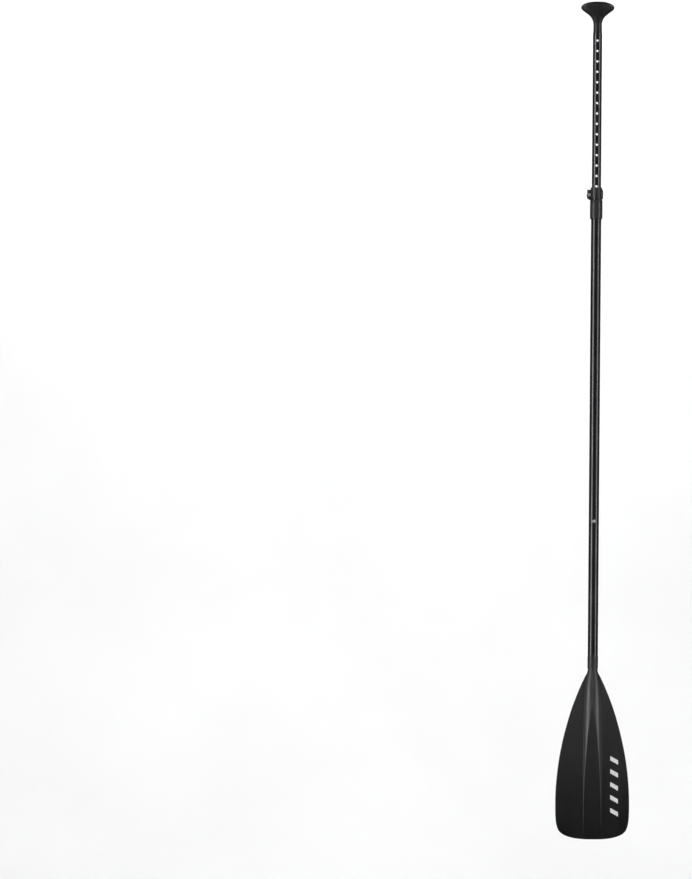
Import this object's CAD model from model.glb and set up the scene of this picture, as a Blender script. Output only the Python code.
# %% [markdown]
# # A take-apart stand-up paddle
# This file is a lesson in cells. It finishes the look of a paddle whose exact sizes and joints come from its CAD
# model: a palm grip, three alloy tubes, a lever clamp, a snap button and a moulded blade.
# First the frame is loaded. Everything here is in metres, +Z runs up the shaft, and -Y is the spine side.

# %% Load the frame
import math

import bmesh
import bpy
import numpy as np
from mathutils import Matrix, Vector
from mathutils.kdtree import KDTree


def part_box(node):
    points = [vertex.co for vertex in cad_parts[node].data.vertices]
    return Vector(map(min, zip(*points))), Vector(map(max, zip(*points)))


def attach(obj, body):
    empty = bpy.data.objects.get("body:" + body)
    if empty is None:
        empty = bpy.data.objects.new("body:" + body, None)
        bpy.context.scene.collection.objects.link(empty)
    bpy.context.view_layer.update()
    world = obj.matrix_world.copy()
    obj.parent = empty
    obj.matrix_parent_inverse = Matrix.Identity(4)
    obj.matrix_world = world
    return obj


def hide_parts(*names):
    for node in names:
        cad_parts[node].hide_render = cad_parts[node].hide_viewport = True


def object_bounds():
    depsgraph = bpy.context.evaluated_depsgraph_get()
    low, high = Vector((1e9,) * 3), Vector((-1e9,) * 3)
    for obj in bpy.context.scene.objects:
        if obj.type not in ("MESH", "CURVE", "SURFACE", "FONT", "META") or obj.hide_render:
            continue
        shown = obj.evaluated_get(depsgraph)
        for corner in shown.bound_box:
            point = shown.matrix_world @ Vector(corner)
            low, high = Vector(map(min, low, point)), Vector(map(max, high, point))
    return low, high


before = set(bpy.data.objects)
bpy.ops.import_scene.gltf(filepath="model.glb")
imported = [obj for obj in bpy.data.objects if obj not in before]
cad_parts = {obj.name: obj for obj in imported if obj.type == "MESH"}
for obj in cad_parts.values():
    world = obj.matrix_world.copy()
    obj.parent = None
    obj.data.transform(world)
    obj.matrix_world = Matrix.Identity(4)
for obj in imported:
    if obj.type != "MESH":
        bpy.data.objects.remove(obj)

cad_low, cad_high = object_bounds()
print("CAD box", tuple(cad_low), tuple(cad_high))

# %% [markdown]
# ## Sizes that the pieces share
# The CAD nodes already say how thick the tubes are and where they end, so they are measured, not typed in again.
# A tube's outside radius is half of its box's width. Its wall isn't in the box, so that is a value of its own.

# %% Measure the tubes
MM = 0.001
TUBE_WALL = 1.2 * MM


def top(node):
    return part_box(node)[1].z


def bottom(node):
    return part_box(node)[0].z


def outside_radius(node):
    low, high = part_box(node)
    return (high.x - low.x) / 2


SHAFT_R = outside_radius("middle_shaft")
HANDLE_R = outside_radius("upper_shaft")
JOINT_Z = bottom("middle_shaft")
BUTTON_Z = (top("snap_button") + bottom("snap_button")) / 2
PEG_Z = (top("locating_peg") + bottom("locating_peg")) / 2
print("tube radii", round(SHAFT_R, 5), round(HANDLE_R, 5), "joint", round(JOINT_Z, 4))

# %% [markdown]
# ## Turning vertices into a finished piece
# Most pieces are grids of points: rings stacked along the shaft, or rows laid over a surface. This helper joins them
# into a mesh, merges the seam, points the faces outwards, and leaves only real corners sharp.


# %% Mesh helpers
def finish_mesh(name, verts, faces, material, sharp_deg=35.0, recalc=True):
    mesh = bpy.data.meshes.new(name)
    mesh.from_pydata([tuple(map(float, v)) for v in verts], [], faces)
    bm = bmesh.new()
    bm.from_mesh(mesh)
    bmesh.ops.remove_doubles(bm, verts=bm.verts, dist=1e-6)
    if recalc:
        bmesh.ops.recalc_face_normals(bm, faces=bm.faces)
    bm.to_mesh(mesh)
    bm.free()
    return finish_piece(name, mesh, material, sharp_deg)


def finish_piece(name, mesh, material, sharp_deg=35.0):
    mesh.materials.clear()
    mesh.materials.append(material)
    mesh.polygons.foreach_set("use_smooth", [True] * len(mesh.polygons))
    mesh.set_sharp_from_angle(angle=math.radians(sharp_deg))
    piece = live_object(name, mesh)
    print(name, "faces", len(mesh.polygons))
    return piece


def grid_faces(rows, cols, wrap=False, start=0, flip=False):
    """Quads between the points of a grid stored row by row."""
    faces = []
    last = cols if wrap else cols - 1
    for r in range(rows - 1):
        for c in range(last):
            a, b = start + r * cols + c, start + r * cols + (c + 1) % cols
            quad = (a, b, b + cols, a + cols)
            faces.append(quad[::-1] if flip else quad)
    return faces


def circle_points(radius, z, angles):
    return [(radius * math.cos(a), radius * math.sin(a), z) for a in angles]


def lathe(name, profile, material, segments=96, closed=True, sharp_deg=35.0):
    """A turned piece: profile is (radius, z) points, and closed joins its last point to its first."""
    points = [*profile, profile[0]] if closed else list(profile)
    angles = np.linspace(0, 2 * math.pi, segments, endpoint=False)
    verts = [vertex for r, z in points for vertex in circle_points(r, z, angles)]
    return finish_mesh(name, verts, grid_faces(len(points), segments, wrap=True), material, sharp_deg)


def plain_mesh(live):
    """An object's final mesh, with its modifiers or bevel applied. The live object is removed."""
    made = bpy.data.meshes.new_from_object(live.evaluated_get(bpy.context.evaluated_depsgraph_get()))
    bpy.data.objects.remove(live)
    return made


def live_object(name, data):
    made = bpy.data.objects.new(name, data)
    bpy.context.scene.collection.objects.link(made)
    return made


def store_on_points(piece, name, value_of):
    """Store one number for each vertex in the mesh, for a material to read."""
    layer = piece.data.attributes.new(name, "FLOAT", "POINT")
    layer.data.foreach_set("value", [value_of(vertex) for vertex in piece.data.vertices])


def place(piece, body, slot, *nodes):
    """Say which CAD body the piece rides on, whose finish it has, and which CAD nodes it stands for."""
    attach(piece, body)
    if nodes:
        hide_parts(*nodes)
    return piece


# %% [markdown]
# ## Building materials out of nodes
# A believable finish is never one flat colour. Each material below starts from one shader, then noise drives its
# colour, roughness and bump. All noise is read in Object coordinates, in metres, so its size on the piece is known.
# These small helpers keep the node trees short and readable.


# %% Node helpers
class Finish:
    """A material under construction, with shortcuts for the nodes that every finish here uses."""

    def __init__(self, name, color, roughness, metallic=0.0, **shader_values):
        self.material = bpy.data.materials.new(name)
        self.material.use_nodes = True
        self.tree = self.material.node_tree
        self.shader = self.tree.nodes["Principled BSDF"]
        self.shader.inputs["Base Color"].default_value = (*color, 1.0)
        self.shader.inputs["Roughness"].default_value = roughness
        self.shader.inputs["Metallic"].default_value = metallic
        for socket, value in shader_values.items():
            self.shader.inputs[socket.replace("_", " ")].default_value = value
        self.where = self.tree.nodes.new("ShaderNodeTexCoord").outputs["Object"]
        self.normal = None

    def link(self, a, b):
        self.tree.links.new(a, b)

    def stretched(self, scale):
        """Object coordinates scaled differently along each axis, for streaks."""
        node = self.add("ShaderNodeMapping", Scale=scale)
        self.link(self.where, node.inputs["Vector"])
        return node.outputs["Vector"]

    def add(self, kind, **values):
        """A new node, with constant values on its inputs."""
        node = self.tree.nodes.new(kind)
        for socket, value in values.items():
            node.inputs[socket.replace("_", " ")].default_value = value
        return node

    def noise(self, scale, detail=3.0, rough=0.55, vector=None):
        node = self.add("ShaderNodeTexNoise", Scale=scale, Detail=detail, Roughness=rough)
        self.link(vector or self.where, node.inputs["Vector"])
        return node.outputs["Fac"]

    def cells(self, scale):
        node = self.add("ShaderNodeTexVoronoi", Scale=scale)
        self.link(self.where, node.inputs["Vector"])
        return node.outputs["Distance"]

    def remap(self, value, low, high, to_low=0.0, to_high=1.0, smooth=True):
        node = self.add("ShaderNodeMapRange", From_Min=low, From_Max=high, To_Min=to_low, To_Max=to_high)
        node.interpolation_type = "SMOOTHSTEP" if smooth else "LINEAR"
        node.clamp = True
        self.link(value, node.inputs["Value"])
        return node.outputs["Result"]

    def math(self, operation, a, b=None):
        node = self.add("ShaderNodeMath")
        node.operation = operation
        for socket, value in zip(node.inputs, (a, b)):
            if isinstance(value, (int, float)):
                socket.default_value = value
            elif value is not None:
                self.link(value, socket)
        return node.outputs[0]

    def mix(self, factor, a, b):
        """Mix two colours; either may be an RGB triple or an output socket."""
        node = self.add("ShaderNodeMix")
        node.data_type = "RGBA"
        self.link(factor, node.inputs["Factor"])
        for socket, value in ((node.inputs[6], a), (node.inputs[7], b)):
            if isinstance(value, tuple):
                socket.default_value = (*value, 1.0)
            else:
                self.link(value, socket)
        return node.outputs[2]

    def bump(self, height, strength, distance):
        node = self.add("ShaderNodeBump", Strength=strength, Distance=distance)
        self.link(height, node.inputs["Height"])
        if self.normal is not None:
            self.link(self.normal, node.inputs["Normal"])
        self.normal = node.outputs["Normal"]
        self.link(self.normal, self.shader.inputs["Normal"])

    def color(self, socket):
        self.link(socket, self.shader.inputs["Base Color"])

    def roughness(self, socket):
        self.link(socket, self.shader.inputs["Roughness"])

    def axis(self, index):
        """One of the object's coordinates, in metres."""
        node = self.add("ShaderNodeSeparateXYZ")
        self.link(self.where, node.inputs[0])
        return node.outputs[index]

    def attribute(self, name):
        """A value that is stored on the mesh's points."""
        node = self.add("ShaderNodeAttribute")
        node.attribute_name = name
        return node.outputs["Fac"]


# %% [markdown]
# ## The alloy tubes' finish
# The tubes are drawn aluminium, anodised dark charcoal with a slightly warm violet cast. Drawing leaves very fine
# lines along the tube, so the noise is squeezed across the tube and stretched along it. Use leaves bright hairline
# scratches, and the handle's tube is rubbed where it slides through the clamp.


# %% Anodised alloy
def anodised(name, color, rub_top=None):
    finish = Finish(name, color, 0.36, metallic=0.85, Coat_Weight=0.12, Coat_Roughness=0.22)
    lines = finish.noise(60.0, detail=4.0, vector=finish.stretched((38.0, 38.0, 0.9)))
    cloud = finish.noise(9.0, detail=4.0)
    lighter = tuple(c * 1.16 for c in color)
    darker = tuple(c * 0.9 for c in color)
    tone = finish.mix(finish.remap(cloud, 0.35, 0.65), darker, lighter)
    tone = finish.mix(finish.remap(lines, 0.3, 0.7, 0.0, 0.3), tone, lighter)
    hair = finish.noise(30.0, detail=6.0, rough=0.7, vector=finish.stretched((26.0, 26.0, 1.2)))
    scratches = finish.remap(hair, 0.72, 0.75, 0.0, 0.22)
    if rub_top is not None:
        height = finish.axis(2)
        rubbed = finish.remap(height, rub_top + 0.012, rub_top - 0.03)
        ring = finish.noise(300.0, detail=2.0, vector=finish.stretched((1.0, 1.0, 0.15)))
        rubbed = finish.math("MULTIPLY", rubbed, finish.remap(ring, 0.42, 0.66, 0.0, 0.35))
        scratches = finish.math("MAXIMUM", scratches, rubbed)
    finish.color(finish.mix(scratches, tone, (0.34, 0.335, 0.345)))
    smudge = finish.noise(26.0, detail=5.0)
    rough = finish.remap(smudge, 0.3, 0.7, 0.26, 0.32)
    finish.roughness(finish.math("ADD", rough, finish.remap(lines, 0.2, 0.8, -0.02, 0.03)))
    finish.bump(lines, 0.15, 0.00003)
    return finish.material


SHAFT_ALLOY = anodised("shaft_alloy", (0.056, 0.054, 0.058))
HANDLE_ALLOY = anodised("handle_alloy", (0.056, 0.055, 0.059), rub_top=top("clamp_body"))

# %% [markdown]
# ## Bare metals
# The stops are drilled after anodising, so their edges are bright aluminium. The bolt, nut, peg and button are
# stainless steel, turned on a lathe, and the two springs are rolled strip with a duller, slightly blued skin.


# %% Steel and bare aluminium
def bright_metal(name, color, roughness, streaks=(1.0, 1.0, 1.0), spots=0.12, metallic=1.0):
    finish = Finish(name, color, roughness, metallic=metallic)
    turned = finish.noise(900.0, detail=3.0, vector=finish.stretched(streaks))
    stain = finish.noise(160.0, detail=5.0)
    dull = tuple(c * 0.62 for c in color)
    finish.color(finish.mix(finish.remap(stain, 0.45, 0.75, 0.0, 0.8), color, dull))
    finish.roughness(finish.remap(turned, 0.25, 0.75, roughness - 0.08, roughness + spots))
    finish.bump(turned, 0.2, 0.00002)
    return finish.material


BARE_EDGE = bright_metal("bare_edge", (0.6, 0.6, 0.6), 0.3)
BRIGHT_STEEL = bright_metal("bright_steel", (0.62, 0.615, 0.6), 0.22, streaks=(1.0, 0.2, 1.0))
SATIN_STEEL = bright_metal("satin_steel", (0.6, 0.595, 0.585), 0.42, streaks=(1.0, 0.2, 1.0), metallic=0.6)
SPRING_STEEL = bright_metal("spring_steel", (0.33, 0.335, 0.36), 0.34, streaks=(1.0, 1.0, 0.08))

# %% [markdown]
# ## Moulded plastics
# The clamp and the grip are glass-filled nylon from a spark-eroded mould, which prints a fine grain on them. A
# Voronoi texture gives the grain's pits and a finer noise the glint between them. Handling polishes raised areas,
# so broad noise lowers the roughness in patches, and a few pale scuffs break the black.


# %% Grained nylon
def grained(name, color, roughness, grain=2600.0, scuff=0.5):
    finish = Finish(name, color, roughness, Specular_IOR_Level=0.45)
    cloud = finish.noise(34.0, detail=4.0)
    lighter = tuple(c * 1.6 for c in color)
    tone = finish.mix(finish.remap(cloud, 0.35, 0.7), color, lighter)
    marks = finish.noise(55.0, detail=8.0, rough=0.72, vector=finish.stretched((1.0, 1.0, 2.6)))
    tone = finish.mix(finish.remap(marks, 0.66, 0.72, 0.0, scuff), tone, (0.13, 0.13, 0.132))
    panel = finish.attribute("panel")
    finish.color(finish.mix(panel, tone, tuple(c * 0.7 for c in color)))
    handled = finish.noise(48.0, detail=2.0)
    rough = finish.remap(handled, 0.35, 0.65, roughness - 0.08, roughness + 0.06)
    dull = finish.math("MULTIPLY", panel, 0.14)
    finish.roughness(finish.math("ADD", rough, dull))
    pits = finish.cells(grain)
    finish.bump(pits, 0.35, 0.00006)
    finish.bump(finish.noise(grain * 1.8, detail=2.0), 0.25, 0.00003)
    return finish.material


CLAMP_NYLON = grained("clamp_nylon", (0.019, 0.019, 0.0198), 0.36)
GRIP_NYLON = grained("grip_nylon", (0.011, 0.011, 0.0118), 0.42, grain=2200.0)
PLUG_NYLON = grained("plug_nylon", (0.03, 0.03, 0.031), 0.5, grain=1800.0, scuff=0.2)

# %% [markdown]
# ## The blade's plastic
# The blade is one big injection moulding, polished in the mould, so it is glossier than the clamp. Real mouldings are
# never optically flat: they have a faint orange peel, flow lines that fan out from the neck and fine scratches that
# run towards the tip. Two tones here are painted in and not lit: the plastic is greyer towards the neck, which stands
# in for light that falls off down the blade, and the spine's edges are paler, which helps them read. Five plain
# slanted bars, masked out by coordinates, sit low on the right of the face.

# %% Blade finish
BEND = math.radians(9.0)
NECK_Z = cad_low.z + 433.0 * MM * math.cos(BEND)
BADGE_X = (46.0 * MM, 66.0 * MM)
BADGE_DOWN = (170.0 * MM, 337.0 * MM)
BADGE_BARS = 5
BAR_SHARE = 0.34
BAR_LEAN = 0.55


def blade_plastic():
    finish = Finish("blade_plastic", (0.011, 0.011, 0.0115), 0.38, Specular_IOR_Level=0.5)
    flow = finish.noise(5.0, detail=5.0, rough=0.6, vector=finish.stretched((6.0, 1.0, 1.0)))
    tone = finish.mix(finish.remap(flow, 0.35, 0.7), (0.0045, 0.0045, 0.0049), (0.0075, 0.0075, 0.008))
    neck_tone = finish.remap(finish.axis(2), cad_low.z + 0.02, NECK_Z - 0.02, smooth=False)
    neck_tone = finish.math("MULTIPLY", neck_tone, finish.remap(flow, 0.2, 0.8, 0.8, 1.0))
    tone = finish.mix(neck_tone, tone, (0.032, 0.032, 0.033))
    hair = finish.noise(42.0, detail=7.0, rough=0.72, vector=finish.stretched((9.0, 9.0, 0.8)))
    tone = finish.mix(finish.remap(hair, 0.68, 0.71, 0.0, 0.25), tone, (0.075, 0.075, 0.078))
    tone = finish.mix(finish.attribute("worn_edge"), tone, (0.062, 0.062, 0.064))
    # The badge: bars that repeat down the blade, cut by two edges across it, all leaning the same way
    across, height = finish.axis(0), finish.axis(2)
    lean = finish.math("ADD", height, finish.math("MULTIPLY", across, BAR_LEAN))
    top_z = NECK_Z - BADGE_DOWN[0] * math.cos(BEND)
    bottom_z = NECK_Z - BADGE_DOWN[1] * math.cos(BEND)
    run = finish.remap(lean, bottom_z, top_z, 0.0, float(BADGE_BARS), smooth=False)
    bar = finish.math("FRACT", run)
    inside = finish.math("LESS_THAN", bar, BAR_SHARE)
    for value, limit, keep_above in ((lean, bottom_z, True), (lean, top_z, False),
                                     (across, BADGE_X[0], True), (across, BADGE_X[1], False)):
        test = finish.math("GREATER_THAN" if keep_above else "LESS_THAN", value, limit)
        inside = finish.math("MULTIPLY", inside, test)
    chipped = finish.remap(finish.noise(420.0, detail=4.0), 0.3, 0.36, 0.0, 0.8)
    facing = finish.add("ShaderNodeNewGeometry")
    split = finish.add("ShaderNodeSeparateXYZ")
    finish.link(facing.outputs["True Normal"], split.inputs[0])
    front = finish.math("LESS_THAN", split.outputs[1], -0.3)
    inside = finish.math("MULTIPLY", finish.math("MULTIPLY", inside, chipped), front)
    finish.color(finish.mix(inside, tone, (0.78, 0.78, 0.78)))
    peel = finish.noise(150.0, detail=2.0)
    smear = finish.noise(11.0, detail=5.0)
    rough = finish.remap(smear, 0.3, 0.7, 0.35, 0.45)
    finish.roughness(finish.math("ADD", rough, finish.remap(hair, 0.6, 0.7, 0.0, 0.12)))
    finish.bump(peel, 0.18, 0.0002)
    finish.bump(hair, 0.12, 0.00006)
    return finish.material


BLADE_PLASTIC = blade_plastic()

# %% [markdown]
# ## Rubber and foam
# The collar is shrink sleeve: soft and matt against the polished tubes, with dust in its pores. The plugs
# that keep the tubes afloat are closed-cell foam, whose cut cells show as tiny round pits.


# %% Shrink sleeve and foam
def shrink_sleeve():
    finish = Finish("shrink_sleeve", (0.02, 0.0195, 0.0205), 0.45, Sheen_Weight=0.05, Sheen_Roughness=0.4)
    dust = finish.noise(240.0, detail=6.0)
    tone = finish.mix(finish.remap(dust, 0.4, 0.75), (0.018, 0.0175, 0.0185), (0.036, 0.035, 0.037))
    finish.color(tone)
    finish.roughness(finish.remap(finish.noise(90.0), 0.3, 0.7, 0.4, 0.52))
    finish.bump(finish.noise(1400.0, detail=4.0), 0.3, 0.00005)
    return finish.material


def closed_foam():
    finish = Finish("closed_foam", (0.72, 0.72, 0.69), 0.9, Subsurface_Weight=0.05)
    pits = finish.cells(700.0)
    finish.color(finish.mix(finish.remap(pits, 0.1, 0.6), (0.55, 0.55, 0.52), (0.8, 0.8, 0.77)))
    finish.roughness(finish.remap(finish.noise(60.0), 0.3, 0.7, 0.84, 0.95))
    finish.bump(pits, 0.6, 0.0004)
    return finish.material


SHRINK_SLEEVE = shrink_sleeve()
CLOSED_FOAM = closed_foam()

# %% [markdown]
# ## Drilled tubes
# The handle's tube has a row of stops drilled right through it, and the lower tube has one hole for the button. A
# boolean would leave long thin triangles that shade badly on a polished tube. Instead each hole gets its own patch of
# rings that start round at the hole and end square, wrapped on to the cylinder, so every vertex of the outside lies
# exactly on the tube.

# %% A patch with a hole, wrapped on a cylinder
PATCH_ACROSS = 8
PATCH_ALONG = 16
PATCH_HALF = 6.4 * MM
HOLE_ZONE = 8.0 * MM
RING_STEPS = (0.0, 0.05, 0.14, 0.32, 0.62, 1.0)


def patch_border():
    """Points round the patch's rectangle, counter-clockwise, evenly spaced along each side."""
    wide, tall = PATCH_HALF, HOLE_ZONE
    corners = [(-wide, -tall), (wide, -tall), (wide, tall), (-wide, tall)]
    points = []
    for side, steps in enumerate((PATCH_ACROSS, PATCH_ALONG) * 2):
        (x0, y0), (x1, y1) = corners[side], corners[(side + 1) % 4]
        points += [(x0 + (x1 - x0) * k / steps, y0 + (y1 - y0) * k / steps) for k in range(steps)]
    return points


def wrap(across, along, radius, outer_r, turn, z):
    """A flat point (measured round the outside) put on a cylinder of that radius."""
    angle = turn + across / outer_r
    return (radius * math.cos(angle), radius * math.sin(angle), z + along)


def drilled_tube(name, outer_r, bore_r, z_high, z_low, holes, hole_r, both_walls, material):
    """A tube along Z, with holes of hole_r at the heights in holes, through the front or through both walls."""
    front, back = -math.pi / 2, math.pi / 2
    half = PATCH_HALF / outer_r
    side_steps = 18
    columns = []
    for centre in (front, back):
        columns += [centre - half + 2 * half * k / PATCH_ACROSS for k in range(PATCH_ACROSS)]
        gap = math.pi - 2 * half
        columns += [centre + half + gap * k / side_steps for k in range(side_steps)]
    count = len(columns)
    verts, faces = [], []
    edges = sorted([z_low, z_high, *[z + s * HOLE_ZONE for z in holes for s in (-1, 1)]])
    zones = [(a, b) for a, b in zip(edges, edges[1:]) if b - a > 1e-6]

    def ring_stack(radius, a, b, steps, skip, flip):
        start = len(verts)
        for k in range(steps + 1):
            z = a + (b - a) * k / steps
            verts.extend(circle_points(radius, z, columns))
        for k, quad in enumerate(grid_faces(steps + 1, count, wrap=True, start=start, flip=flip)):
            if k % count not in skip:
                faces.append(quad)

    def patch(centre, z, flip):
        border = patch_border()
        hole = [(hole_r * x / math.hypot(x, y), hole_r * y / math.hypot(x, y)) for x, y in border]
        for radius, turned in ((outer_r, flip), (bore_r, not flip)):
            start = len(verts)
            for step in RING_STEPS:
                for (x, y), (hole_x, hole_y) in zip(border, hole):
                    across, along = hole_x + (x - hole_x) * step, hole_y + (y - hole_y) * step
                    verts.append(wrap(across, along, radius, outer_r, centre, z))
            faces.extend(grid_faces(len(RING_STEPS), len(border), wrap=True, start=start, flip=turned))
        wall = len(verts)
        for radius in np.linspace(bore_r, outer_r, 3):
            verts.extend(wrap(x, y, radius, outer_r, centre, z) for x, y in hole)
        faces.extend(grid_faces(3, len(border), wrap=True, start=wall, flip=flip))

    front_skip = set(range(PATCH_ACROSS))
    back_skip = {PATCH_ACROSS + side_steps + k for k in range(PATCH_ACROSS)}
    for a, b in zones:
        drilled = [z for z in holes if abs((a + b) / 2 - z) < 1e-6]
        skip = (front_skip | (back_skip if both_walls else set())) if drilled else set()
        steps = PATCH_ALONG if drilled else max(1, round((b - a) / (20 * MM)))
        ring_stack(outer_r, a, b, steps, skip, False)
        ring_stack(bore_r, a, b, steps, skip, True)
        if drilled:
            patch(front, drilled[0], False)
            if both_walls:
                patch(back, drilled[0], False)
    for z, flip in ((z_low, False), (z_high, True)):
        start = len(verts)
        for radius in (bore_r, outer_r):
            verts.extend(circle_points(radius, z, columns))
        faces.extend(grid_faces(2, count, wrap=True, start=start, flip=flip))
    return finish_mesh(name, verts, faces, material)


# %% [markdown]
# ## The handle's tube
# Eighteen stops run down the handle's tube, 26.7 mm apart, and the peg of the detent sits in the sixteenth. The
# grip's spigot ends above the first stop, so daylight shows through every stop that isn't inside the clamp.

# %% Make the handle's tube
STOP_PITCH = 26.7 * MM
STOP_R = 3.1 * MM
STOP_COUNT = 18
USED_STOP = 15
STOPS = [PEG_Z + (USED_STOP - k) * STOP_PITCH for k in range(STOP_COUNT)]
HANDLE_BORE_R = HANDLE_R - TUBE_WALL

handle_tube = drilled_tube("handle_tube", HANDLE_R, HANDLE_BORE_R, top("upper_shaft"), bottom("upper_shaft"),
                           STOPS, STOP_R, True, HANDLE_ALLOY)
place(handle_tube, "handle_section", "handle_alloy", "upper_shaft")

# %% [markdown]
# ## Bright rims round the stops
# Each drilled edge is broken with a countersink, which cuts through the anodising and leaves a bright ring. There are
# thirty-six of them, all alike, so Geometry Nodes makes one ring, instances it at every stop, and bends the
# rings to the tube by setting their positions. The ring itself is a small circle swept along a larger one.


# %% Geometry Nodes helpers
class Tree:
    """A Geometry Nodes tree with named inputs, run once on a carrier mesh and then turned into plain mesh."""

    def __init__(self, name):
        self.group = bpy.data.node_groups.new(name, "GeometryNodeTree")
        self.group.interface.new_socket("Geometry", in_out="INPUT", socket_type="NodeSocketGeometry")
        self.group.interface.new_socket("Geometry", in_out="OUTPUT", socket_type="NodeSocketGeometry")
        self.entry = self.group.nodes.new("NodeGroupInput")
        self.exit = self.group.nodes.new("NodeGroupOutput")

    def size(self, name, kind="NodeSocketFloat"):
        """A named input, as an output socket of the group's entry node."""
        self.group.interface.new_socket(name, in_out="INPUT", socket_type=kind)
        return self.entry.outputs[name]

    def node(self, kind, settings=None, **inputs):
        made = self.group.nodes.new(kind)
        for key, value in (settings or {}).items():
            setattr(made, key, value)
        for key, value in inputs.items():
            numbered = key[0] == "i" and key[1:].isdigit()
            socket = made.inputs[int(key[1:]) if numbered else key.replace("_", " ")]
            if isinstance(value, bpy.types.NodeSocket):
                self.group.links.new(value, socket)
            else:
                socket.default_value = value
        return made

    def math(self, operation, a, b=0.0):
        return self.node("ShaderNodeMath", {"operation": operation}, i0=a, i1=b).outputs[0]

    def output(self, geometry, material):
        self.material = material
        real = self.node("GeometryNodeRealizeInstances", Geometry=geometry)
        painted = self.node("GeometryNodeSetMaterial", Geometry=real.outputs[0], Material=material)
        self.group.links.new(painted.outputs[0], self.exit.inputs[0])

    def run(self, name, body, slot, sizes, carrier, sharp_deg=35.0):
        """Apply the tree to a carrier mesh and keep the result as a plain mesh that rides on the body."""
        seed_object = live_object(name + "_carrier", carrier)
        modifier = seed_object.modifiers.new("nodes", "NODES")
        modifier.node_group = self.group
        for item in self.group.interface.items_tree:
            if item.in_out == "INPUT" and item.name in sizes:
                modifier[item.identifier] = sizes[item.name]
        piece = finish_piece(name, plain_mesh(seed_object), self.material, sharp_deg)
        return place(piece, body, slot)


# %% [markdown]
# The tree below takes a column of points, one at each hole, and puts a thin washer-shaped ring on each. The ring is
# flat, so its depth is then set to follow the round tube: y becomes the tube's radius at that x.


# %% Rims of the stops
def rim_tree(material):
    tree = Tree("rims")
    hole, width, lift, tube_r = (tree.size(n) for n in ("Hole radius", "Rim width", "Lift", "Tube radius"))
    outer = tree.math("ADD", hole, width)
    middle_r = tree.math("MULTIPLY", tree.math("ADD", hole, outer), 0.5)
    half_width = tree.math("MULTIPLY", width, 0.5)
    path = tree.node("GeometryNodeCurvePrimitiveCircle", Resolution=40, Radius=middle_r)
    profile = tree.node("GeometryNodeCurvePrimitiveCircle", Resolution=6, Radius=half_width)
    ring = tree.node("GeometryNodeCurveToMesh", Curve=path.outputs[0], Profile_Curve=profile.outputs[0])
    stand = tree.node("GeometryNodeTransform", Geometry=ring.outputs[0], Rotation=(math.pi / 2, 0.0, 0.0),
                      Scale=(1.0, 1.0, 0.35))
    placed = tree.node("GeometryNodeInstanceOnPoints", Points=tree.entry.outputs[0],
                       Instance=stand.outputs[0])
    real = tree.node("GeometryNodeRealizeInstances", Geometry=placed.outputs[0])
    here = tree.node("GeometryNodeInputPosition")
    split = tree.node("ShaderNodeSeparateXYZ", Vector=here.outputs[0])
    x, y, z = split.outputs[:3]
    inside = tree.math("SUBTRACT", tree.math("MULTIPLY", tube_r, tube_r), tree.math("MULTIPLY", x, x))
    surface = tree.math("SQRT", inside)
    side = tree.math("SIGN", y)
    relief = tree.math("SUBTRACT", tree.math("ABSOLUTE", y), tube_r)
    depth = tree.math("ADD", tree.math("ADD", surface, relief), lift)
    join = tree.node("ShaderNodeCombineXYZ", X=x, Y=tree.math("MULTIPLY", side, depth), Z=z)
    bent = tree.node("GeometryNodeSetPosition", Geometry=real.outputs[0], Position=join.outputs[0])
    tree.output(bent.outputs[0], material)
    return tree


def points_mesh(name, points, **vectors):
    """Loose points for a tree to stand things on, with a named vector for each point if the tree reads one."""
    mesh = bpy.data.meshes.new(name)
    mesh.from_pydata([tuple(p) for p in points], [], [])
    for key, values in vectors.items():
        layer = mesh.attributes.new(key, "FLOAT_VECTOR", "POINT")
        layer.data.foreach_set("vector", np.array(values, np.float32).ravel())
    return mesh


def rims(name, body, slot, hole_r, width, tube_r, points):
    """Bright rims at points of a tube. They lie a little below its skin, so that a bore can pass over them."""
    sizes = {"Hole radius": hole_r, "Rim width": width, "Lift": -0.05 * MM, "Tube radius": tube_r}
    rim_tree(BARE_EDGE).run(name, body, slot, sizes, points_mesh(name + "_points", points))


rims("stop_rims", "handle_section", "handle_alloy", STOP_R - 0.1 * MM, 0.45 * MM, HANDLE_R,
     [(0, side * HANDLE_R, z) for z in STOPS for side in (-1, 1)])

# %% [markdown]
# ## The middle and lower tubes
# The middle tube is plain drawn tube with its edges broken. The lower tube slips over the ferrule and has one hole on
# the spine side, where the button comes through. A turned profile is the natural way to make the first, and the
# drilled tube above makes the second.


# %% Make the middle and lower tubes
def plain_tube(name, outer_r, bore_r, z_high, z_low, material, edge=0.25 * MM, rows=30):
    heights = np.linspace(z_low + edge, z_high - edge, rows)
    outside = [(outer_r, z) for z in heights]
    inside = [(bore_r, z) for z in heights[::-1]]
    profile = [(outer_r - edge, z_low), *outside, (outer_r - edge, z_high), (bore_r + edge, z_high),
               *inside, (bore_r + edge, z_low)]
    return lathe(name, profile, material)


SHAFT_BORE_R = SHAFT_R - TUBE_WALL
middle_tube = plain_tube("middle_tube", SHAFT_R, SHAFT_BORE_R, top("middle_shaft"), JOINT_Z + 0.15 * MM, SHAFT_ALLOY)
place(middle_tube, "middle_section", "shaft_alloy", "middle_shaft")

BUTTON_HOLE_R = outside_radius("snap_button") + 0.3 * MM
lower_tube = drilled_tube("lower_tube", SHAFT_R, SHAFT_BORE_R, JOINT_Z - 0.15 * MM, bottom("lower_shaft"),
                          [BUTTON_Z], BUTTON_HOLE_R, False, SHAFT_ALLOY)
place(lower_tube, "blade_section", "shaft_alloy", "lower_shaft")

rims("button_rim", "blade_section", "shaft_alloy", BUTTON_HOLE_R, 0.5 * MM, SHAFT_R, [(0, -SHAFT_R, BUTTON_Z)])

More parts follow.
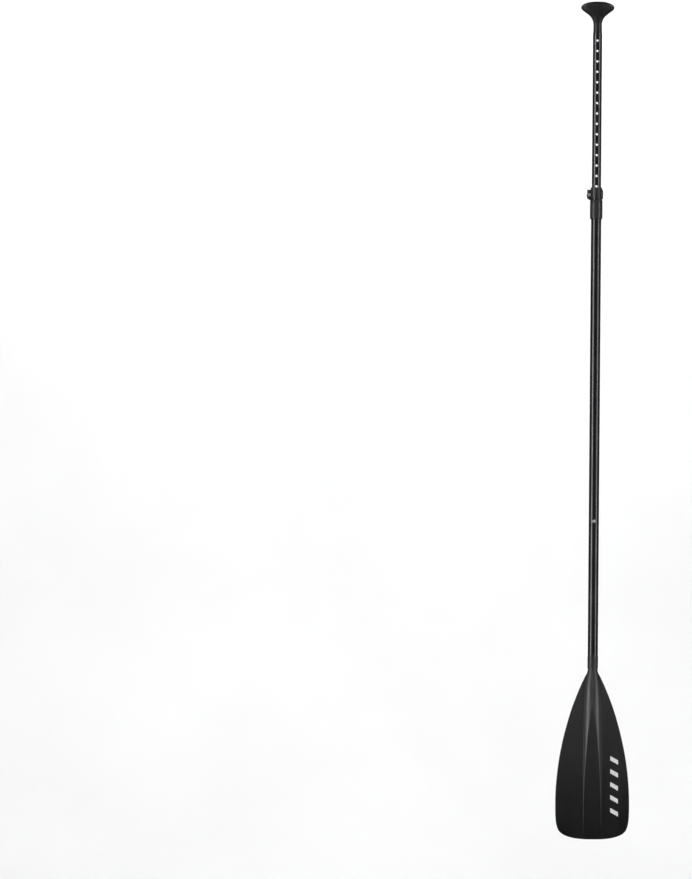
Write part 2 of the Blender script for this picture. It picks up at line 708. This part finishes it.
# %% [markdown]
# ## The snap button
# The button is a turned stainless pin with a round nose, so that a thumb can press it. It is made as a profile turned
# about its own axis, then laid on its side to point out of the tube.


# %% Make the button
def turned_across(name, profile, z, material):
    """A lathe piece whose axis is parallel to Y: profile is (radius, y) points."""
    piece = lathe(name, profile, material, segments=64, closed=False)
    turn = Matrix(((1, 0, 0), (0, 0, 1), (0, -1, 0))).to_4x4()
    piece.data.transform(turn)
    piece.data.transform(Matrix.Translation((0, 0, z)))
    return piece


def nose_profile(radius, y_foot, y_tip, nose):
    """A pin from its foot to a rounded tip."""
    points = [(0.0, y_foot), (radius, y_foot)]
    sign = 1 if y_tip > y_foot else -1
    for k in range(9):
        angle = math.pi / 2 * k / 8
        points.append((radius - nose + nose * math.cos(angle), y_tip - sign * nose * (1 - math.sin(angle))))
    return [*points, (0.0, y_tip)]


def nosed_pin(name, node, nose, material, body):
    low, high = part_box(node)
    pin = turned_across(name, nose_profile(outside_radius(node), high.y, low.y, nose), (low.z + high.z) / 2, material)
    place(pin, body, "bright_steel", node)


nosed_pin("button", "snap_button", 1.7 * MM, SATIN_STEEL, "button")

# %% [markdown]
# ## The palm grip
# The grip is a T shape that is lofted from ellipses: round at the neck, then flaring wide and flat for the palm. Each
# ring has a width, a depth and a roundness, and a smooth curve through the sizes gives as many rings as needed. The
# front of the flare is pressed slightly flat, and a raised line borders a fan-shaped panel of small dots, which
# keeps a wet palm from slipping.

# %% The grip's body
GRIP_FOOT = top("upper_shaft")
GRIP_RINGS = np.array([
    # height mm, half width mm, half depth mm, squareness
    (0.0, 11.3, 11.3, 2.0),
    (5.0, 11.1, 11.2, 2.0),
    (14.0, 10.9, 11.0, 2.0),
    (22.0, 10.9, 11.0, 2.05),
    (30.0, 12.3, 11.6, 2.1),
    (37.5, 15.6, 12.9, 2.15),
    (45.2, 22.3, 15.0, 2.2),
    (52.8, 32.2, 17.6, 2.25),
    (57.0, 38.0, 19.0, 2.3),
    (60.5, 41.3, 19.9, 2.35),
    (64.5, 42.5, 20.1, 2.4),
    (68.2, 42.0, 19.5, 2.4),
    (72.0, 38.8, 17.6, 2.35),
    (75.9, 32.0, 14.0, 2.3),
    (79.0, 21.5, 9.0, 2.2),
    (80.5, 11.0, 4.6, 2.1),
    (81.0, 0.3, 0.2, 2.0),
])


def smooth_table(table, at, column=1):
    """A smooth curve through one column of a table (Hermite, with slopes from the neighbours)."""
    x, y = table[:, 0].astype(float), table[:, column].astype(float)
    slope = np.gradient(y, x)
    k = np.clip(np.searchsorted(x, at) - 1, 0, len(x) - 2)
    span = x[k + 1] - x[k]
    t = (at - x[k]) / span
    return ((2 * t**3 - 3 * t**2 + 1) * y[k] + (t**3 - 2 * t**2 + t) * span * slope[k]
            + (3 * t**2 - 2 * t**3) * y[k + 1] + (t**3 - t**2) * span * slope[k + 1])


def ring_sizes(height):
    """Width, depth and squareness of the grip at a height in mm."""
    return [float(smooth_table(GRIP_RINGS, height, column)) for column in (1, 2, 3)]


def grip_point(height, angle):
    """A point of the grip's skin in metres. Angle 0 is +X, and the front is at -90 degrees."""
    half_width, half_depth, square = ring_sizes(height)
    c, s = math.cos(angle), math.sin(angle)
    x = half_width * math.copysign(abs(c) ** (2 / square), c)
    y = half_depth * math.copysign(abs(s) ** (2 / square), s)
    flare = min(max((height - 26.0) / 20.0, 0.0), 1.0)
    pressed = 1.6 * flare * max(-s, 0.0) ** 2 * (1 - 0.35 * (x / 43.0) ** 2)
    return Vector((x, y + pressed, 0.0)) * MM + Vector((0, 0, GRIP_FOOT + height * MM))


def palm_grip():
    heights = np.concatenate((np.linspace(0, 72, 73), 72 + 9 * np.sin(np.linspace(0.05, 1, 30) * math.pi / 2)))
    angles = np.linspace(-math.pi / 2, 1.5 * math.pi, 144, endpoint=False)
    verts = [grip_point(min(h, 80.995), a) for h in heights for a in angles]
    faces = grid_faces(len(heights), len(angles), wrap=True)
    last = len(verts) - len(angles)
    faces.append(tuple(range(last, len(verts))))
    spigot = [(11.3, 0.0), (10.5, 0.0), (10.5, -13.2), (9.7, -14.0), (0.0, -14.0)]
    start = len(verts)
    for radius, height in spigot[:-1]:
        verts.extend(circle_points(radius * MM, GRIP_FOOT + height * MM, angles))
    faces += grid_faces(len(spigot) - 1, len(angles), wrap=True, start=start, flip=True)
    faces.append(tuple(range(len(verts) - len(angles), len(verts)))[::-1])
    return finish_mesh("palm_grip_body", verts, faces, GRIP_NYLON, sharp_deg=50)


grip = place(palm_grip(), "handle_section", "grip_plastic", "palm_grip")

# %% [markdown]
# ## The grip's border line and dots
# The border is a fine raised bead. Its path is drawn on the skin by asking for grip points, and a curve with a small
# bevel follows it. The dots stand on a lattice inside the border: the points come from the same function, and
# Geometry Nodes instances one low dome on each, turned to the skin's normal.

# %% Make the border and the dots
PANEL_FOOT = 27.0
PANEL_TOP = 65.0
PANEL_ARCH = 9.5


def panel_edge(height):
    """How far the panel reaches either side of the middle, as a share of the grip's half width."""
    return 0.62 + 0.28 * min(max((height - PANEL_FOOT) / 24.0, 0.0), 1.0) ** 0.6


def front_point(height, share):
    """The point of the grip's front whose x is that share of the half width."""
    square = ring_sizes(height)[2]
    return grip_point(height, -math.pi / 2 + math.asin(abs(share) ** (square / 2)) * math.copysign(1, share))


def panel_ceiling(share):
    """The panel's upper border: an arch that is highest in the middle."""
    return PANEL_TOP + PANEL_ARCH * (1 - (share / panel_edge(PANEL_TOP)) ** 2) ** 0.8


def panel_border():
    points = [front_point(h, -panel_edge(h)) for h in np.linspace(PANEL_FOOT, PANEL_TOP, 40)]
    reach = panel_edge(PANEL_TOP)
    points += [front_point(panel_ceiling(t * reach), t * reach) for t in np.sin(np.linspace(-1.5, 1.5, 61))]
    points += [front_point(h, panel_edge(h)) for h in np.linspace(PANEL_TOP, PANEL_FOOT, 40)]
    foot = panel_edge(PANEL_FOOT)
    points += [front_point(PANEL_FOOT - 2.0 * (1 - t * t), t * foot) for t in np.linspace(1, -1, 12)[1:-1]]
    return points


def bead(name, points, radius, material):
    """A round bead along points, as plain mesh."""
    curve = bpy.data.curves.new(name, "CURVE")
    curve.dimensions = "3D"
    curve.bevel_depth = radius
    curve.bevel_resolution = 3
    spline = curve.splines.new("POLY")
    spline.points.add(len(points) - 1)
    for target, point in zip(spline.points, points):
        target.co = (*point, 1.0)
    spline.use_cyclic_u = True
    return finish_piece(name, plain_mesh(live_object(name, curve)), material, 60)


def in_panel(vertex):
    """Whether a point lies inside the panel, so that the material can be duller there."""
    height = (vertex.co.z - GRIP_FOOT) / MM
    if vertex.co.y >= 0 or not PANEL_FOOT < height < PANEL_TOP + PANEL_ARCH:
        return 0.0
    share = vertex.co.x / MM / ring_sizes(height)[0]
    inside = abs(share) < panel_edge(min(height, PANEL_TOP))
    return float(inside and (height < PANEL_TOP or height < panel_ceiling(share)))


store_on_points(grip, "panel", in_panel)
place(bead("grip_border", panel_border(), 0.55 * MM, GRIP_NYLON), "handle_section", "grip_plastic")


def dot_tree(material):
    tree = Tree("dots")
    radius, flatness = tree.size("Dot radius"), tree.size("Flatness")
    dome = tree.node("GeometryNodeMeshIcoSphere", Radius=radius, Subdivisions=2)
    squeeze = tree.node("ShaderNodeCombineXYZ", X=1.0, Y=1.0, Z=flatness)
    flat = tree.node("GeometryNodeTransform", Geometry=dome.outputs[0], Scale=squeeze.outputs[0])
    normal = tree.node("GeometryNodeInputNamedAttribute", {"data_type": "FLOAT_VECTOR"}, Name="skin_normal")
    face = tree.node("FunctionNodeAlignRotationToVector", {"axis": "Z"}, Vector=normal.outputs[0])
    placed = tree.node("GeometryNodeInstanceOnPoints", Points=tree.entry.outputs[0],
                       Instance=flat.outputs[0], Rotation=face.outputs[0])
    tree.output(placed.outputs[0], material)
    return tree


def lattice_on_skin():
    """Points and normals of the dots, in rows 1.65 mm apart, every other row moved by half a step."""
    points, normals = [], []
    pitch = 1.9
    for row, height in enumerate(np.arange(PANEL_FOOT + 1.5, PANEL_TOP + PANEL_ARCH - 1.2, pitch * 0.87)):
        half = ring_sizes(height)[0]
        for x in np.arange(-half + pitch / 2 * (row % 2), half, pitch):
            share = x / half
            limit = panel_edge(min(height, PANEL_TOP)) - 1.6 / half
            if abs(share) > limit or height > panel_ceiling(share) - 1.3:
                continue
            here = front_point(height, share)
            right = front_point(height, share + 0.004) - here
            up = front_point(height + 0.1, share) - here
            points.append(here)
            normals.append(right.cross(up).normalized())
    return points, normals


dot_places, dot_normals = lattice_on_skin()
dot_tree(GRIP_NYLON).run("grip_dots", "handle_section", "grip_plastic", {"Dot radius": 0.6 * MM, "Flatness": 0.62},
                         points_mesh("dot_places", dot_places, skin_normal=dot_normals), 60)
print("dots", len(dot_places))

# %% [markdown]
# ## The moulded clamp
# The clamp's CAD solid already has its real shape, with the split, the slot and the ear. CAD meshes are loose
# triangles with knife edges, though, and nothing moulded has those. So a copy is merged, its flat triangles are
# dissolved back into faces, and a small bevel rounds each real edge, which is what catches the light.

# %% Round the edges of a CAD copy
CLEAN_DEG = 0.6
BEVEL_DEG = 32.0


def rounded_copy(name, node, material, edge):
    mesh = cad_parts[node].data.copy()
    mesh.name = name
    bm = bmesh.new()
    bm.from_mesh(mesh)
    bmesh.ops.remove_doubles(bm, verts=bm.verts, dist=2e-6)
    bmesh.ops.dissolve_limit(bm, angle_limit=math.radians(CLEAN_DEG), verts=bm.verts, edges=bm.edges)
    bm.to_mesh(mesh)
    bm.free()
    temporary = live_object(name, mesh)
    bevel = temporary.modifiers.new("edge", "BEVEL")
    bevel.width = edge
    bevel.segments = 2
    bevel.limit_method = "ANGLE"
    bevel.angle_limit = math.radians(BEVEL_DEG)
    bevel.miter_outer = "MITER_ARC"
    bevel.use_clamp_overlap = True
    return finish_piece(name, plain_mesh(temporary), material, 40)


place(rounded_copy("clamp_shell", "clamp_body", CLAMP_NYLON, 0.45 * MM), "middle_section", "clamp_plastic",
      "clamp_body")

# %% [markdown]
# ## Ribs down the clamp's sleeve
# The sleeve has shallow upright ribs, so that a hand can hold it while the other pulls the lever. They repeat round
# the sleeve, so one rib is made in Geometry Nodes and instanced on a circle of points.


# %% Sleeve ribs
def rib_tree(material):
    tree = Tree("ribs")
    length, width, stand = tree.size("Length"), tree.size("Width"), tree.size("Stand")
    tall = tree.node("ShaderNodeCombineXYZ", X=tree.math("MULTIPLY", stand, 2.0), Y=width, Z=length)
    dome = tree.node("GeometryNodeMeshUVSphere", Segments=16, Rings=12, Radius=0.5)
    rib = tree.node("GeometryNodeTransform", Geometry=dome.outputs[0], Scale=tall.outputs[0])
    turn = tree.node("GeometryNodeInputNamedAttribute", {"data_type": "FLOAT_VECTOR"}, Name="turn")
    placed = tree.node("GeometryNodeInstanceOnPoints", Points=tree.entry.outputs[0],
                       Instance=rib.outputs[0], Rotation=turn.outputs[0])
    tree.output(placed.outputs[0], material)
    return tree


def ribs(name, body, radius, z, angles, length, width, stand):
    """Ribs on a circle round the shaft, set 0.1 mm into the surface of that radius."""
    reach = radius - 0.1 * MM
    carrier = points_mesh(name + "_points", circle_points(reach, z, angles), turn=[(0, 0, a) for a in angles])
    sizes = {"Length": length, "Width": width, "Stand": stand}
    rib_tree(CLAMP_NYLON).run(name, body, "clamp_plastic", sizes, carrier, 60)


clamp_low, clamp_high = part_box("clamp_body")
SLEEVE_R = (clamp_high.y - clamp_low.y) / 2
SLEEVE_FOOT = bottom("clamp_body")
ribs("sleeve_ribs", "middle_section", SLEEVE_R, SLEEVE_FOOT + 23 * MM, [math.radians(10 + 20 * k) for k in range(18)],
     length=34 * MM, width=3.4 * MM, stand=0.4 * MM)

# %% [markdown]
# ## The lever and its grooves
# The lever wraps round the back of the band when it is shut. It is rounded like the clamp, and gets raised thumb ribs
# near its tip, made by the same tree as the sleeve's ribs, on points that lie on the lever's outside.

# %% Make the lever
place(rounded_copy("lever_arm", "clamp_lever", CLAMP_NYLON, 0.5 * MM), "lever", "clamp_plastic", "clamp_lever")
LEVER_R = 17.2 * MM
lever_mid = (top("clamp_lever") + bottom("clamp_lever")) / 2
ribs("lever_ribs", "lever", LEVER_R, lever_mid, [math.radians(4 + 7 * k) for k in range(8)],
     length=14 * MM, width=1.1 * MM, stand=0.35 * MM)

# %% [markdown]
# ## Fasteners and springs
# The bolt, washer and barrel nut pull the clamp's ears together, and the leaf and folded strip are its springs. They
# are small and mostly hidden, so rounded copies of their CAD solids are enough, but each has its own metal.

# %% Make the fasteners, springs and plugs
SMALL_PIECES = [
    # piece, CAD node, material, edge mm, body, finish
    ("bolt", "clamp_bolt", SATIN_STEEL, 0.25, "middle_section", "bright_steel"),
    ("washer", "clamp_washer", BRIGHT_STEEL, 0.12, "middle_section", "bright_steel"),
    ("nut", "barrel_nut", BRIGHT_STEEL, 0.2, "middle_section", "bright_steel"),
    ("leaf", "detent_spring", SPRING_STEEL, 0.1, "middle_section", "spring_steel"),
    ("strip", "snap_spring", SPRING_STEEL, 0.12, "middle_section", "spring_steel"),
    ("pin", "neck_pin", BRIGHT_STEEL, 0.2, "blade_section", "bright_steel"),
    ("ferrule_cap", "ferrule_plug", PLUG_NYLON, 0.3, "middle_section", "clamp_plastic"),
    ("handle_cap", "upper_shaft_plug", PLUG_NYLON, 0.3, "handle_section", "clamp_plastic"),
]
for name, node, material, edge, body, slot in SMALL_PIECES:
    place(rounded_copy(name, node, material, edge * MM), body, slot, node)

nosed_pin("peg", "locating_peg", 1.6 * MM, BRIGHT_STEEL, "middle_section")

# %% [markdown]
# ## The ferrule
# The ferrule is a short inner tube that is fixed in the middle tube, with the button's hole in its spine side. It is
# only seen when the blade is taken off, and then its end and the rub marks of the lower tube show.

# %% Make the ferrule
FERRULE_ALLOY = anodised("ferrule_alloy", (0.1, 0.098, 0.104), rub_top=JOINT_Z)
FERRULE_WALL = 1.45 * MM
ferrule = drilled_tube("ferrule_tube", HANDLE_R, HANDLE_R - FERRULE_WALL, top("ferrule"), bottom("ferrule"),
                       [BUTTON_Z], outside_radius("snap_button") + 0.15 * MM, False, FERRULE_ALLOY)
place(ferrule, "middle_section", "handle_alloy", "ferrule")

# %% [markdown]
# ## Foam plugs
# The foam plugs are punched from sheet, so their sides are slightly waisted and their ends are flat. They are turned
# from a profile whose radius varies a little.


# %% Make the foam plugs
def foam_plug(name, node, body):
    low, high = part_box(node)
    radius = (high.x - low.x) / 2
    heights = np.linspace(low.z, high.z, 25)
    waist = [radius - 0.35 * MM * math.sin(math.pi * k / 24) for k in range(25)]
    profile = [(0.0, low.z), (radius - 0.8 * MM, low.z), *zip(waist[1:-1], heights[1:-1]),
               (radius - 0.8 * MM, high.z), (0.0, high.z)]
    place(lathe(name, profile, CLOSED_FOAM, closed=False), body, "float_foam", node)


foam_plug("middle_foam", "middle_float_plug", "middle_section")
foam_plug("lower_foam", "lower_float_plug", "blade_section")

# %% [markdown]
# ## The shrink sleeve at the neck
# Shrink sleeve never pulls down evenly. It follows the seam below it, and its lower edge puckers into faint
# lengthwise creases. The sleeve is a turned tube whose radius is changed at each point by a few waves, strongest near
# the lower edge.


# %% Make the sleeve
def neck_sleeve():
    low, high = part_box("neck_collar")
    outer, inner = (high.x - low.x) / 2, SHAFT_R + 0.02 * MM
    rows, cols = 61, 160
    verts = []
    for r in range(rows):
        t = r / (rows - 1)
        z = high.z + (low.z - high.z) * t
        for c in range(cols):
            a = 2 * math.pi * c / cols
            crease = 0.5 + 0.5 * math.sin(9 * a + 1.3 * math.sin(3 * a) + 2.2 * t)
            pull = 0.10 * math.sin(5 * t + 2 * a) * math.sin(math.pi * t)
            near_edge = min(max((t - 0.45) / 0.5, 0.0), 1.0)
            ring = 0.16 * math.exp(-((t - 0.62) / 0.05) ** 2)
            edge = min(t, 1 - t) * (high.z - low.z) / (0.7 * MM)
            lip = 1 - math.sqrt(max(0.0, 1 - (1 - min(edge, 1.0)) ** 2))
            drop = 0.16 * near_edge * crease + 0.05 + 0.05 * pull - ring * 0.2 + 0.5 * lip
            verts.append(((outer - drop * MM) * math.cos(a), (outer - drop * MM) * math.sin(a), z))
    start = len(verts)
    for z in (low.z, high.z):
        verts.extend(circle_points(inner, z, [2 * math.pi * c / cols for c in range(cols)]))
    faces = grid_faces(rows, cols, wrap=True)
    faces += grid_faces(2, cols, wrap=True, start=start)
    faces += [(start - cols + c, start + c, start + (c + 1) % cols, start - cols + (c + 1) % cols)
              for c in range(cols)]
    faces += [(c, (c + 1) % cols, start + cols + (c + 1) % cols, start + cols + c) for c in range(cols)]
    return finish_mesh("neck_sleeve", verts, faces, SHRINK_SLEEVE, 60)


place(neck_sleeve(), "blade_section", "collar_rubber", "neck_collar")

# %% [markdown]
# ## The blade
# The blade is the main piece. Its outline is a wide teardrop with rounded lower corners. A tube-like spine runs down
# its front, and a slanting cut shaves the spine's crown into a long flat V that melts into the plate. The mesh is one
# grid for the front and one for the back, joined at a thin rounded rim. Rows start straight at the neck and bend
# until the last one lies along the tip, so the quads stay even. All lengths below are in millimetres from the neck.

# %% The blade's outline
CORNER_DOWN = 404.0
CORNER_X = 89.0
# Distance down from the neck and half width, along the side, down to the corner
SIDE = np.array([(-30, 12.95), (-12, 12.95), (-2, 13.0), (4, 14.6), (10, 18.0), (20, 22.8), (30, 27.6),
                 (41, 32.4), (52, 36.9), (72, 44.8), (103, 55.8), (134, 64.9), (165, 73.0), (196, 79.8),
                 (228, 85.6), (258, 89.6), (289, 92.6), (320, 94.3), (345, 94.6), (368, 94.3), (385, 93.1),
                 (396, 91.3), (404, 89.0)])
# Distance across from the middle and distance down, along the tip, out to the corner
TIP = np.array([(0, 432.9), (18, 432.6), (36, 431.3), (52, 428.8), (64, 425.3), (74.5, 420.6), (81, 415.9),
                (86, 410.2), (89, 404.0)])
print("widest", round(float(smooth_table(SIDE, np.arange(300.0, 380.0)).max()), 2))

# %% [markdown]
# The height of each side over the plate's middle is a formula. The spine's section is a superellipse that goes from
# a circle at the neck towards a diamond, the shaving plane caps it, and a smooth maximum merges it with the plate.

# %% The blade's two faces
PLATE_HALF = 1.75
EDGE_HALF = 1.05
EDGE_REACH = 26.0
EDGE_ROUND = 1.3
SPINE_MERGE = 0.8
BEND_REACH = 14.0
FIRST_ROW = -24.0
SPINE_WIDTH = np.array([(-30, 13.0), (0, 13.0), (12, 15.2), (28, 17.7), (70, 20.6), (120, 22.0), (190, 23.0),
                        (280, 23.6), (433, 23.8)])
TUBE_HIGH = 13.0
DISH_DEPTH = 2.4
# Distance down from the neck and height of the cut through the spine's crown, on the front and on the back
FRONT_CROWN = np.array([(-30, 14.2), (55, 13.6), (78, 13.0), (176, 8.8), (279, 4.4), (330, 3.1), (385, 2.0),
                        (433, 1.2)])
BACK_CROWN = np.array([(-30, 16.5), (0, 14.5), (20, 13.0), (120, 7.0), (200, 2.2), (240, 1.0), (433, 1.0)])
SPINE_POWER = np.array([(-30, 2.0), (0, 2.0), (25, 1.85), (70, 1.62), (170, 1.5), (433, 1.5)])


def soft_max(a, b, blend):
    h = np.clip(0.5 + 0.5 * (a - b) / blend, 0, 1)
    return b + (a - b) * h + blend * h * (1 - h)


def soft_min(a, b, blend):
    return -soft_max(-a, -b, blend)


def spine_height(x, down, crown):
    """Height of the spine over the plate's middle, with its crown cut off where the crown table says."""
    width = smooth_table(SPINE_WIDTH, down)
    power = smooth_table(SPINE_POWER, down)
    share = np.clip(np.abs(x) / width, 0, 1)
    section = TUBE_HIGH * np.clip(1 - share**power, 0, 1) ** (1 / power)
    return soft_min(section, smooth_table(crown, down), 0.3)


def plate_height(rim):
    """Half the plate's thickness: thin and round at the rim, thicker towards the middle."""
    inner = EDGE_HALF + (PLATE_HALF - EDGE_HALF) * np.clip(rim / EDGE_REACH, 0, 1) ** 0.7
    near = np.clip(rim / EDGE_ROUND, 0, 1)
    return inner * np.sqrt(np.clip(1 - (1 - near) ** 2, 0, 1))


def blade_grid():
    """Where each point of the grid lies in the plate: across, down, and how far it is from the rim.

    Half of the columns keep to the spine and crowd towards its foot, so its edges stay crisp.
    """
    s = np.concatenate((np.linspace(0, 0.985, 228)[:-1], 1 - 0.015 * (1 - np.linspace(0, 1, 9)) ** 2))
    side_down = FIRST_ROW + (CORNER_DOWN - FIRST_ROW) * s
    half = smooth_table(SIDE, side_down)
    spine = np.minimum(smooth_table(SPINE_WIDTH, side_down), half)
    inner = np.sin(np.linspace(0, 1, 45) * math.pi / 2)
    q = np.linspace(0, 1, 37)[1:]
    outer = 0.4 * q + 0.6 * np.sin(q * math.pi / 2)
    right = np.hstack((spine[:, None] * inner, spine[:, None] + (half - spine)[:, None] * outer))
    x = np.hstack((-right[:, :0:-1], right))
    t = x / half[:, None]
    tip = smooth_table(TIP, np.abs(CORNER_X * t))
    down = side_down[:, None] + (tip - CORNER_DOWN) * s[:, None] ** 5
    side_gap = half[:, None] - np.abs(x)
    tip_gap = np.where(np.abs(x) < CORNER_X, smooth_table(TIP, np.clip(np.abs(x), 0, CORNER_X)) - down, 99.0)
    rim = np.minimum(side_gap, np.clip(tip_gap, 0, None))
    return x, down, np.clip(rim, 0, None)


def bent(x, down, height):
    """From plate coordinates to the row frame: the plate leaves the shaft's line through a short smooth bend."""
    steps = np.linspace(-40, 440, 1921)
    angle = BEND * np.clip((steps + BEND_REACH) / (2 * BEND_REACH), 0, 1)
    gap = steps[1] - steps[0]
    y = np.cumsum(-np.sin(angle)) * gap
    z = np.cumsum(-np.cos(angle)) * gap
    y, z = y - np.interp(-20, steps, y), z - np.interp(-20, steps, z) + 20.0
    lean = np.interp(down, steps, angle)
    out_y = np.interp(down, steps, y) - height * np.cos(lean)
    out_z = np.interp(down, steps, z) + height * np.sin(lean)
    return np.stack((x * MM, out_y * MM, NECK_Z + out_z * MM), axis=-1)


def wear_edges(piece, x, down):
    """Store how worn each point is: the spine's proud edges rub pale first."""
    width = smooth_table(SPINE_WIDTH, down)
    power = smooth_table(SPINE_POWER, down)
    plane = np.clip(smooth_table(FRONT_CROWN, down) / TUBE_HIGH, 0, 1)
    cut_edge = width * (1 - plane**power) ** (1 / power)
    fade = np.clip((350 - down) / 170, 0, 1) * np.clip((down + 4) / 14, 0, 1)
    crest = np.exp(-((np.abs(x) - cut_edge) / 1.1) ** 2) * 0.7
    foot = np.exp(-((np.abs(x) - width) / 0.9) ** 2) * 0.55 * np.clip((down - 14) / 20, 0, 1)
    wear = (np.clip(crest + foot, 0, 1) * fade).ravel()
    front = np.array(bent(x, down, np.zeros_like(x))).reshape(-1, 3)
    nearest = KDTree(len(front))
    for k, point in enumerate(front):
        nearest.insert((point[0], 0.0, point[2]), k)
    nearest.balance()

    def worn(vertex):
        return float(wear[nearest.find((vertex.co.x, 0.0, vertex.co.z))[1]]) if vertex.normal.y < 0 else 0.0

    store_on_points(piece, "worn_edge", worn)


def blade():
    x, down, rim = blade_grid()
    plate = plate_height(rim)
    neck = np.clip((6.0 - down) / 12.0, 0, 1)
    round_neck = TUBE_HIGH * np.sqrt(np.clip(1 - (x / np.abs(x[:, :1])) ** 2, 0, None))
    heights = []
    for crown in (FRONT_CROWN, BACK_CROWN):
        merged = soft_max(spine_height(x, down, crown), plate, SPINE_MERGE) * np.clip(rim / 0.8, 0, 1)
        side = np.where(rim > 0, np.maximum(merged, plate), plate)
        heights.append(side * (1 - neck) + round_neck * neck)
    front_height, back_height = heights
    # The plate is dished: its edges stay forward, and its middle falls back as it leaves the spine
    half = smooth_table(SIDE, np.clip(down, -30, 404))
    bowl = DISH_DEPTH * np.clip(down / 150.0, 0, 1) * (1 - (x / np.maximum(half, 1)) ** 2)
    bowl *= np.clip((433 - down) / 160, 0, 1)
    rows, cols = x.shape
    verts = [*bent(x, down, front_height - bowl).reshape(-1, 3), *bent(x, down, -back_height - bowl).reshape(-1, 3)]
    faces = grid_faces(rows, cols) + grid_faces(rows, cols, start=rows * cols, flip=True)
    faces.append(tuple([c for c in range(cols)] + [rows * cols + c for c in range(cols - 2, 0, -1)]))
    print("blade grid", rows, "by", cols)
    piece = finish_mesh("blade_moulding", verts, faces, BLADE_PLASTIC, 50)
    wear_edges(piece, x, down)
    return piece


place(blade(), "blade_section", "blade_plastic", "blade")

# %% [markdown]
# The blade's spigot reaches up inside the lower tube. It is hidden until someone takes the paddle to pieces, so it is
# a plain turned tube in the same plastic.

# %% The blade's spigot
SPIGOT_R = SHAFT_R - TUBE_WALL - 0.06 * MM
spigot_top, spigot_foot = top("blade"), bottom("lower_shaft")
SPIGOT_BORE_R = 8.5 * MM
spigot = [(0.0, spigot_foot), (SPIGOT_R, spigot_foot), (SPIGOT_R, spigot_top - 1 * MM),
          (SPIGOT_R - 1 * MM, spigot_top), (SPIGOT_BORE_R, spigot_top),
          (SPIGOT_BORE_R, spigot_foot + 1 * MM), (0.0, spigot_foot + 1 * MM)]
spigot_piece = lathe("blade_spigot", spigot, BLADE_PLASTIC, closed=False)
place(spigot_piece, "blade_section", "blade_plastic")

# %% [markdown]
# ## The studio
# The paddle stands upright in front of a plain pale sweep. Two tall narrow soft boxes, one each side of the camera,
# draw the two upright highlights on the tubes, and two small ones high up touch the grip's corners. The sweep and the
# sky are hidden from glossy rays, as if black flags stood round the set, so a dark tube keeps dark edges. The paper is
# clear from its back, so the paddle can also be seen from behind.

# %% Floor and backdrop
FLOOR_DROP = 0.3
FLOOR_FRONT_Y = -9.0
WALL_Y = 1.6
WALL_HEIGHT = 7.0
CURVE_R = 0.9
SWEEP_HALF = 8.0


def pale_paper():
    finish = Finish("pale_paper", (0.88, 0.88, 0.88), 0.95)
    finish.color(finish.mix(finish.remap(finish.noise(2.0), 0.3, 0.7), (0.87, 0.87, 0.87), (0.9, 0.9, 0.9)))
    facing = finish.add("ShaderNodeNewGeometry")
    finish.link(finish.math("SUBTRACT", 1.0, facing.outputs["Backfacing"]), finish.shader.inputs["Alpha"])
    return finish.material


def sweep_backdrop():
    """A floor that curves up into a wall behind the paddle, low enough to keep its shadow off the blade's tip."""
    floor_z = cad_low.z - FLOOR_DROP
    profile = [(FLOOR_FRONT_Y, 0.0), (WALL_Y - CURVE_R, 0.0)]
    profile += [(WALL_Y - CURVE_R + CURVE_R * math.sin(a), CURVE_R - CURVE_R * math.cos(a))
                for a in np.linspace(0, math.pi / 2, 13)[1:]]
    profile.append((WALL_Y, WALL_HEIGHT))
    verts = [(x, y, floor_z + z) for y, z in profile for x in (-SWEEP_HALF, SWEEP_HALF)]
    sweep = finish_mesh("floor", verts, grid_faces(len(profile), 2), pale_paper(), 60, recalc=False)
    sweep.visible_glossy = False


sweep_backdrop()


# %% Lights and world
def soft_box(name, place_at, aim, width, height, power):
    data = bpy.data.lights.new(name, "AREA")
    data.shape = "RECTANGLE"
    data.size, data.size_y = width, height
    data.energy = power
    light = live_object(name, data)
    light.location = place_at
    light.rotation_euler = (Vector(aim) - Vector(place_at)).to_track_quat("-Z", "Y").to_euler()
    return light


soft_box("left_box", (-2.7, -2.0, -0.15), (0, 0, -0.15), 0.75, 3.2, 75)
soft_box("right_box", (2.9, -1.85, -0.15), (0, 0, -0.15), 0.55, 3.2, 52)
soft_box("crown_left", (-1.6, 0.1, 2.6), (0, 0, 0.9), 0.3, 0.3, 24)
soft_box("crown_right", (1.6, 0.1, 2.6), (0, 0, 0.9), 0.3, 0.3, 18)
soft_box("wall_box", (0.0, -0.6, 2.6), (0, 1.6, 0.0), 4.0, 0.6, 36).visible_glossy = False

world = bpy.data.worlds.new("studio")
bpy.context.scene.world = world
world.use_nodes = True
sky = world.node_tree.nodes["Background"]
sky.inputs["Color"].default_value = (0.93, 0.94, 0.95, 1.0)
sky.inputs["Strength"].default_value = 0.26
world.cycles_visibility.glossy = False
bpy.context.scene.view_settings.view_transform = "Standard"

# %% [markdown]
# ## The camera
# A very long lens from far away keeps the paddle's edges parallel. The paddle stands right of the middle of the
# frame and almost fills its height, and leans by less than half a degree.

# %% Place the camera
FIELD_HEIGHT = 2.2537
DISTANCE = 26.0
AXIS_FROM_MIDDLE = 0.637
MIDDLE_ABOVE_TIP = 1.0178
ROLL_DEG = -0.445
SENSOR = 36.0
camera_data = bpy.data.cameras.new("camera")
camera_data.sensor_width = SENSOR
camera_data.lens = SENSOR * DISTANCE / FIELD_HEIGHT
camera_data.clip_end = 200.0
camera = live_object("camera", camera_data)
camera.location = (-AXIS_FROM_MIDDLE, -DISTANCE, cad_low.z + MIDDLE_ABOVE_TIP)
camera.rotation_euler = (math.pi / 2, math.radians(ROLL_DEG), 0.0)
bpy.context.scene.camera = camera
print("lens", round(camera_data.lens, 1), "field of view, degrees",
      round(math.degrees(2 * math.atan(SENSOR / 2 / camera_data.lens)), 2))
